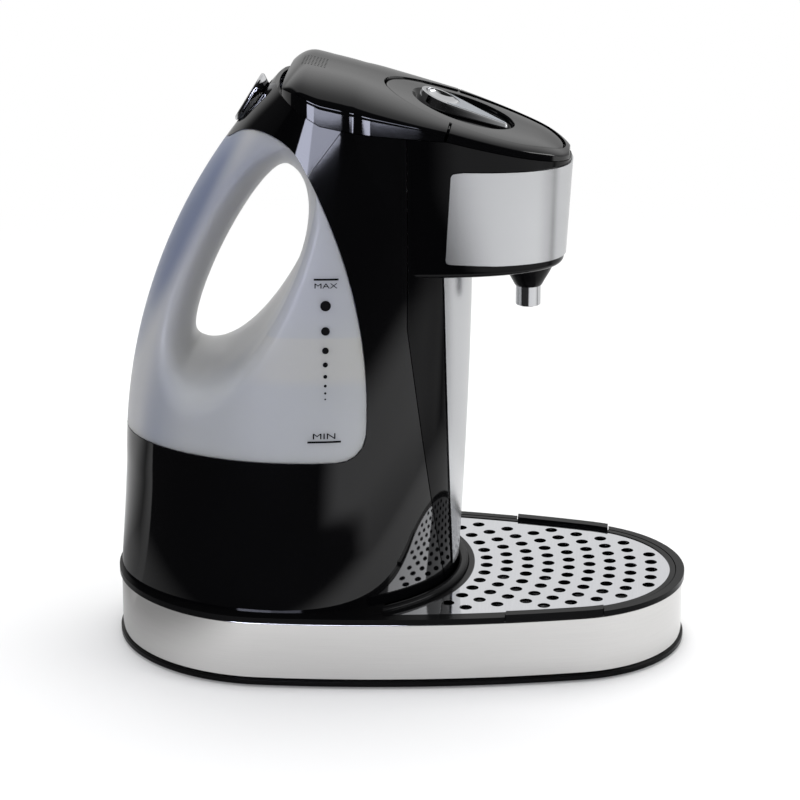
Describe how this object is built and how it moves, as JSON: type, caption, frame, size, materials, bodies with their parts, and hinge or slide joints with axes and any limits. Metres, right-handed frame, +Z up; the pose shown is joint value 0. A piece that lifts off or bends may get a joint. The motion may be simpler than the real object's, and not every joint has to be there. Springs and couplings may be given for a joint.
{
  "type": "hot water dispenser",
  "caption": "Countertop hot water dispenser with an oval base and drip tray, a translucent tank with a grip hole, a spout head and a dial on its sloping lid.",
  "frame": {"origin": "on the table under the middle of the base, at the bottom of the feet", "axes": "+X to the front (the spout and drip tray), +Z up, +Y to the left of the front"},
  "size_m": [0.303, 0.1722, 0.3127],
  "materials": {
    "gloss_black": "gloss",
    "tank_plastic": "translucent",
    "steel": "satin",
    "chrome": "polished",
    "aluminium": "satin",
    "rubber": "matte",
    "metal": "plain",
    "inner_plastic": "matte"
  },
  "bodies": {
    "body": {"bottom_plate": "gloss_black", "feet": "rubber", "bottom_screws": "metal", "base_band": "steel", "base_deck": "gloss_black", "cord_gland": "rubber", "rear_casing": "gloss_black", "front_casing": "gloss_black", "splash_panel": "steel", "head_panel": "steel", "spout_cone": "gloss_black", "spout_tube": "steel", "spout_seal": "rubber", "tank": "tank_plastic", "tank_collar": "gloss_black", "tank_outlet": "inner_plastic", "outlet_filter": "inner_plastic", "tank_shelf": "inner_plastic", "mouth_frame": "inner_plastic", "hinge_pins": "metal", "front_cover": "gloss_black", "dial_panel": "gloss_black", "dose_switch": "inner_plastic", "button_spring": "metal", "boiler": "steel", "boiler_cover": "steel", "boiler_legs": "inner_plastic", "heating_element": "steel", "thermostat": "inner_plastic", "pump": "inner_plastic", "pump_cradle": "inner_plastic", "inlet_hose": "rubber", "feed_hose": "rubber", "outlet_hose": "rubber", "control_board": "inner_plastic", "board_posts": "inner_plastic", "board_screws": "metal"},
    "lid": {"lid": "gloss_black", "lid_seal": "rubber", "lid_latch": "inner_plastic"},
    "knob": {"knob": "chrome", "knob_insert": "aluminium", "knob_shaft": "metal"},
    "button": {"release_button": "chrome"},
    "tray": {"drip_tray": "gloss_black"},
    "grille": {"drip_grille": "steel"}
  },
  "joints": [
    {"name": "lid_hinge", "type": "hinge", "parent": "body", "child": "lid", "pos_m": [0.027, 0, 0.2876], "axis": [0, 1, 0], "range_deg": [0, 55]},
    {"name": "knob_turn", "type": "hinge", "parent": "body", "child": "knob", "pos_m": [0.032, 0, 0.28974], "axis": [0.3108, 0, 0.9505], "range_deg": [-60, 60]},
    {"name": "button_press", "type": "slide", "parent": "body", "child": "button", "axis": [0.7656, 0, -0.6433], "range_m": [0, 0.0024], "stiffness_N_per_m": 600, "deforming": ["button_spring"]},
    {"name": "tray_lift", "type": "slide", "parent": "body", "child": "tray", "axis": [0, 0, 1], "range_m": [0, 0.05]},
    {"name": "grille_lift", "type": "slide", "parent": "tray", "child": "grille", "axis": [0, 0, 1], "range_m": [0, 0.04]}
  ]
}
